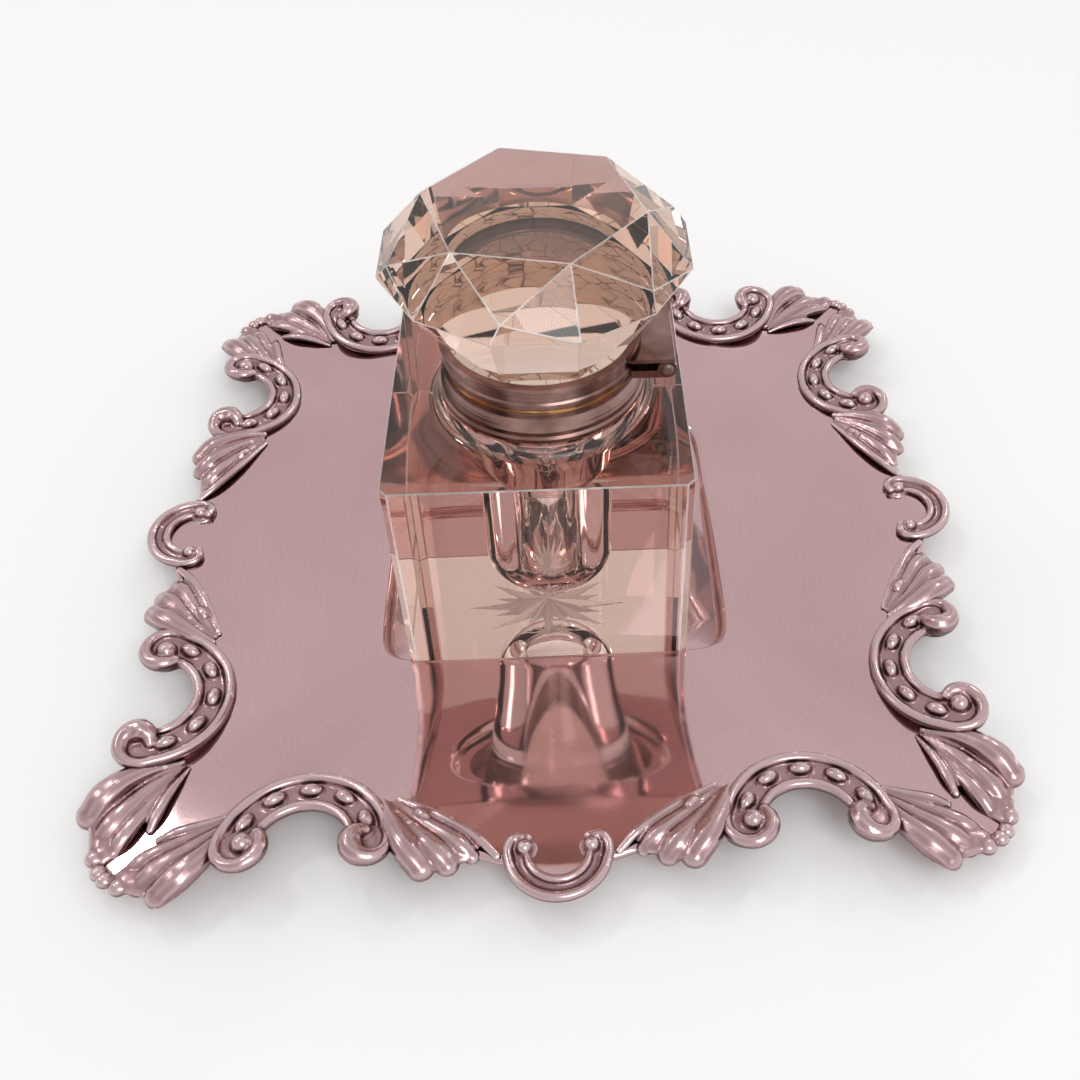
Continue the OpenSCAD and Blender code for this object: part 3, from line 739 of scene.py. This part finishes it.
# %% Bottle block, neck and ink well
BOTTLE = (-1.3, -4.6)
NECK = (-0.4, -4.6)
HALF, FLOOR, SHOULDER = 24.5, 0.82, 43.02
COLLAR_TOP = 51.12
INK_R, BASE_GLASS = 11.0, 5.2
BEVEL, NECK_FOOT, NECK_BLEND, NECK_R = 1.8, 19.2, 2.2, 14.1
bm = bmesh.new()
bmesh.ops.create_cube(bm, size=1.0, matrix=Matrix.Translation((*BOTTLE, (FLOOR + SHOULDER) / 2))
                      @ Matrix.Diagonal((2 * HALF, 2 * HALF, SHOULDER - FLOOR, 1)))
upright = [e for e in bm.edges if abs(e.verts[0].co.z - e.verts[1].co.z) > 1]
bmesh.ops.bevel(bm, geom=upright, offset=BEVEL, offset_type="WIDTH", affect="EDGES",
                segments=1, profile=0.5, material=-1)
body = to_object(bm, "bottle_body")
neck_profile = [(0, SHOULDER - 1), (NECK_FOOT, SHOULDER - 1)] + [
    (NECK_FOOT - NECK_BLEND * math.sin(math.radians(a)),
     SHOULDER + NECK_BLEND - NECK_BLEND * math.cos(math.radians(a)))
    for a in range(0, 91, 15)] + [
    (16.7, SHOULDER + 2.3), (16.1, SHOULDER + 2.65), (NECK_R, SHOULDER + 2.7),
    (NECK_R, COLLAR_TOP - 0.03), (0, COLLAR_TOP - 0.03)]
neck = to_object(spin_profile(neck_profile, NECK), "bottle_neck")
well_low = FLOOR + BASE_GLASS
well_profile = [
    (INK_R * math.sin(math.radians(a)), well_low + INK_R - INK_R * math.cos(math.radians(a)))
    for a in range(0, 91, 6)] + [(INK_R, COLLAR_TOP + 3), (0, COLLAR_TOP + 3)]
ink_well = to_object(spin_profile(well_profile, NECK), "ink_well")
print("ink well, mm:", round(well_low, 2), "to", COLLAR_TOP)

# %% [markdown]
# ## The star under the bottle
#
# A sixteen-ray star is cut into the underside, and it is what sparkles when you look in
# through the front. Its cutter is a low cone whose rim is pulled into a star: long ray,
# notch, short ray, notch.

# %% Star cutter and finished bottle
STAR_DEPTH, BELOW = 2.1, 0.3
LONG_RAY, SHORT_RAY, NOTCH, STEP = 14.6, 10.5, 5.0, 11.25
grow = (STAR_DEPTH + BELOW) / STAR_DEPTH
star = bmesh.new()
bmesh.ops.create_cone(star, cap_ends=True, segments=32, radius1=1.0, radius2=0.0,
                      depth=STAR_DEPTH + BELOW)
for vert in star.verts:
    if vert.co.z < 0:
        turn = round(math.degrees(math.atan2(vert.co.y, vert.co.x)) / STEP) % 32
        reach = grow * (LONG_RAY, NOTCH, SHORT_RAY, NOTCH)[turn % 4]
        vert.co.x = reach * math.cos(math.radians(STEP * turn))
        vert.co.y = reach * math.sin(math.radians(STEP * turn))
bmesh.ops.triangulate(star, faces=star.faces)
bmesh.ops.translate(star, verts=star.verts,
                    vec=(*BOTTLE, FLOOR - BELOW + (STAR_DEPTH + BELOW) / 2))
bottle = combine(body, [("UNION", neck), ("DIFFERENCE", ink_well),
                        ("DIFFERENCE", to_object(star, "star_cutter", STAR))])
grind_edges(bottle, lambda co: max(abs(co.x - BOTTLE[0]), abs(co.y - BOTTLE[1])) > HALF - 2,
            BOTTLE_EDGE)
bottle_piece = add_piece(bottle, "cut_glass_bottle", "bottle", ["bottle_glass"],
                         bottle_crystal, 18)
bottle_piece.data.materials.append(ground_edge_glint)
bottle_piece.data.materials.append(star_painted_reflection)

# %% [markdown]
# ## The lid
#
# The stopper-shaped lid is a solid lump of crystal cut into flat facets: eight sides at
# the foot, twelve at its widest line, six star points above it and six corners round the
# flat table on top. Taking the convex hull of those four rings gives the same triangles
# and kites that the cutter's wheel leaves. A short round stub below them is set in the
# metal ring.

# %% Lid
LID_FOOT_Z, LID_RING_Z, STUB = 56.37, 51.87, 14.1
bm = bmesh.new()
for count, radius, height, turn in (
        (8, 15.4, 0, 22.5), (12, 24.5, 14.1, 15), (6, 22.8, 16.6, 48), (6, 17.2, 22.4, 18)):
    bmesh.ops.create_circle(bm, segments=count, radius=radius,
                            matrix=Matrix.Translation((*NECK, LID_FOOT_Z + height))
                            @ Matrix.Rotation(math.radians(turn), 4, "Z"))
bmesh.ops.convex_hull(bm, input=bm.verts)
bmesh.ops.dissolve_limit(bm, angle_limit=math.radians(1), verts=bm.verts, edges=bm.edges)
facets = to_object(bm, "lid_facets")
stub = to_object(spin_profile([
    (0, LID_RING_Z + 0.1), (STUB - 0.2, LID_RING_Z + 0.1), (STUB, LID_RING_Z + 0.3),
    (STUB, LID_FOOT_Z + 1), (0, LID_FOOT_Z + 1)], NECK), "lid_stub")
lid = combine(facets, [("UNION", stub)])
bmesh.ops.dissolve_limit(lid, angle_limit=math.radians(1), verts=lid.verts, edges=lid.edges)
grind_edges(lid, lambda co: co.z > LID_FOOT_Z + 0.5, LID_EDGE)
lid_piece = add_piece(lid, "faceted_lid", "lid", ["lid_glass"], lid_crystal, 6)
lid_piece.data.materials.append(ground_edge_glint)

# %% [markdown]
# ## Collar, ring and hinge metal
#
# The metal between bottle and lid isn't polished as often as the tray: it has gone a dull
# brown grey, made darker still as a painted dark reflection of the room. These parts are
# plain turned rings, and the packed solids already have their shape, so they only get a
# finish.

# %% Collar and pin finishes
collar_tarnish_and_dark_reflection, tree, shader = new_material("tarnished collar plate with painted dark reflection", Metallic=1.0, Roughness=0.2)
cloud = add_noise(tree, 130, 6)
# The dark tone is partly tarnish, partly a painted dark reflection of the room; the lighter patches
# are partly painted highlights.
tint = add_mix(tree, add_ramp(tree, cloud, 0.35, 0.65, 0.0, 1.0),
               (0.16, 0.085, 0.07), (0.38, 0.245, 0.22))
tree.links.new(tint, shader.inputs["Base Color"])
tree.links.new(add_ramp(tree, cloud, 0.3, 0.7, 0.14, 0.3), shader.inputs["Roughness"])
turned = add_noise(tree, 500, 2, (0.05, 0.05, 6))
add_bump(tree, shader, turned, 0.00008, 0.3)

pin_metal, tree, shader = new_material("dull hinge pin", Metallic=1.0, Roughness=0.35)
cloud = add_noise(tree, 600, 3)
tree.links.new(add_mix(tree, cloud, (0.2, 0.14, 0.12), (0.32, 0.24, 0.21)),
               shader.inputs["Base Color"])
print("collar finishes ready")

# %% [markdown]
# ## Gilded lip
#
# Only a thin line round the outside of the lip is still gilded. Nearer the axis, it has
# worn away to dark metal, so the colour depends on the distance from the neck's axis.

# %% Gilding
RING_H, BORE, GILT_FROM = 4.5, 15.2, 15.6
gilding, tree, shader = new_material("gilded lip", Metallic=1.0, Roughness=0.16)
place = tree.nodes.new("ShaderNodeTexCoord")
from_axis = tree.nodes.new("ShaderNodeVectorMath")
from_axis.operation = "SUBTRACT"
from_axis.inputs[1].default_value = (NECK[0] * MM, NECK[1] * MM, 0)
flat = tree.nodes.new("ShaderNodeVectorMath")
flat.operation = "MULTIPLY"
flat.inputs[1].default_value = (1, 1, 0)
reach = tree.nodes.new("ShaderNodeVectorMath")
reach.operation = "LENGTH"
tree.links.new(place.outputs["Object"], from_axis.inputs[0])
tree.links.new(from_axis.outputs["Vector"], flat.inputs[0])
tree.links.new(flat.outputs["Vector"], reach.inputs[0])
bright = add_ramp(tree, reach.outputs["Value"], BORE * MM, GILT_FROM * MM, 0.0, 1.0)
cloud = add_noise(tree, 250, 4)
gold = add_mix(tree, cloud, (0.62, 0.38, 0.12), (0.74, 0.50, 0.20))
tree.links.new(add_mix(tree, bright, (0.10, 0.07, 0.06), gold), shader.inputs["Base Color"])
print("gilding starts at a radius of", GILT_FROM, "mm")

# %% [markdown]
# ## Plaster
#
# Old plaster holds the glass in its metal rings, and it shows through the crystal. Its
# crazing runs round the ring: the cracks are drawn on the angle round the axis and the
# height, as if the ring were unrolled.

# %% Plaster
UNROLLED, CRACKS_PER_M = 0.040, 600.0
plaster, tree, shader = new_material("setting plaster", Roughness=0.85)
cloud = add_noise(tree, 300, 6)
base = add_mix(tree, cloud, (0.88, 0.70, 0.58), (0.97, 0.86, 0.76))
place = tree.nodes.new("ShaderNodeTexCoord")
centred = tree.nodes.new("ShaderNodeMapping")
centred.inputs["Location"].default_value = (-NECK[0] * MM, -NECK[1] * MM, 0)
tree.links.new(place.outputs["Object"], centred.inputs["Vector"])
around = tree.nodes.new("ShaderNodeTexGradient")
around.gradient_type = "RADIAL"
tree.links.new(centred.outputs["Vector"], around.inputs["Vector"])
height = tree.nodes.new("ShaderNodeSeparateXYZ")
tree.links.new(centred.outputs["Vector"], height.inputs["Vector"])
unrolled = tree.nodes.new("ShaderNodeCombineXYZ")
tree.links.new(add_ramp(tree, around.outputs["Fac"], 0, 1, 0, UNROLLED), unrolled.inputs["X"])
tree.links.new(height.outputs["Z"], unrolled.inputs["Y"])
cracks = tree.nodes.new("ShaderNodeTexVoronoi")
cracks.feature = "DISTANCE_TO_EDGE"
cracks.inputs["Scale"].default_value = CRACKS_PER_M
tree.links.new(unrolled.outputs["Vector"], cracks.inputs["Vector"])
fade = add_ramp(tree, add_noise(tree, 220, 2), 0.42, 0.6, 0.015, 0.075)
dark = add_ramp(tree, cracks.outputs["Distance"], 0.0, 0.05, 1.0, 0.0)
tree.links.new(fade, dark.node.inputs["From Max"])
tree.links.new(add_mix(tree, dark, base, (0.14, 0.07, 0.05)), shader.inputs["Base Color"])
add_bump(tree, shader, cloud, 0.0001, 0.4)

setting = spin_profile([
    (STUB - 0.05, LID_RING_Z), (BORE, LID_RING_Z),
    (BORE, LID_RING_Z + RING_H), (STUB - 0.05, LID_RING_Z + RING_H)], NECK)
add_piece(setting, "lid_setting", "lid", ["lid_cement"], plaster)

# %% [markdown]
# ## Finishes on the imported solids
#
# These five solids are shown as they are, each in its own finish.

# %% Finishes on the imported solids
finish_of = {"collar": collar_tarnish_and_dark_reflection, "lid_ring": collar_tarnish_and_dark_reflection, "hinge_pin": pin_metal,
             "gilt_lip": gilding, "collar_cement": plaster}
for node, material in finish_of.items():
    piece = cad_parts[node]
    piece.data.materials.clear()
    piece.data.materials.append(material)
print("finished:", ", ".join(finish_of))

# %% [markdown]
# ## Floor
#
# The stand sits on a plain white sweep, wide enough to fill the picture.

# %% Floor
bm = bmesh.new()
bmesh.ops.create_circle(bm, cap_ends=True, segments=96, radius=1.0)
mesh = bpy.data.meshes.new("floor")
bm.to_mesh(mesh)
bm.free()
floor = bpy.data.objects.new("floor", mesh)
bpy.context.scene.collection.objects.link(floor)
floor_paint, tree, shader = new_material("white sweep", Roughness=0.9)
shader.inputs["Base Color"].default_value = (0.96, 0.97, 0.97, 1)
shader.inputs["Specular IOR Level"].default_value = 0.1
floor.data.materials.append(floor_paint)
print("sweep diameter, m:", round(floor.dimensions.x, 2))

# %% [markdown]
# ## World
#
# The world is a soft dome, white near the ground and a little duller above, more so on
# the left, so polished silver shows a gentle gradient.

# %% World
world = bpy.data.worlds.new("studio")
bpy.context.scene.world = world
world.use_nodes = True
tree = world.node_tree
sky = tree.nodes["Background"]
direction = tree.nodes.new("ShaderNodeTexCoord")
split = tree.nodes.new("ShaderNodeSeparateXYZ")
tree.links.new(direction.outputs["Generated"], split.inputs["Vector"])
side = add_ramp(tree, split.outputs["X"], -0.7, 0.7, 0.0, 1.0)
above = add_mix(tree, side, (0.68, 0.65, 0.645), (0.84, 0.82, 0.82))
dome = add_mix(tree, add_ramp(tree, split.outputs["Z"], 0.0, 0.3, 0.0, 1.0),
               (1.0, 1.0, 1.0), above)
tree.links.new(dome, sky.inputs["Color"])
print("world:", world.name)

# %% [markdown]
# ## Lamps
#
# A wide fill from the front keeps the sweep white and lights the lid's plaster through
# the glass. Three small lamps give the silver and the facets their crisp lights.

# %% Lamps
def add_lamp(name, place, target, size, power):
    data = bpy.data.lights.new(name, "AREA")
    data.shape = "DISK"
    data.size = size
    data.energy = power
    lamp = bpy.data.objects.new(name, data)
    lamp.location = place
    lamp.rotation_euler = (Vector(target) - Vector(place)).to_track_quat("-Z", "Y").to_euler()
    bpy.context.scene.collection.objects.link(lamp)


add_lamp("fill", (0.34, -0.73, 1.02), (0, 0, 0.03), 0.6, 3.4)
add_lamp("window", (-0.70, 0.14, 0.75), (0, 0, 0.05), 0.24, 0.5)
add_lamp("key", (-0.39, 0.42, 0.82), (0, 0, 0.02), 0.06, 0.5)
add_lamp("far lamp", (0.55, 0.62, 0.75), (0, 0, 0.02), 0.1, 0.4)
print("lamps:", len(bpy.data.lights))

# %% [markdown]
# ## Finish
#
# The visual pieces and the hidden engineering solids both stay in the scene. The visual model has
# to stay inside the engineering model's box. The picture uses the Standard view transform.

# %% Finish
bpy.context.scene.view_settings.view_transform = "Standard"
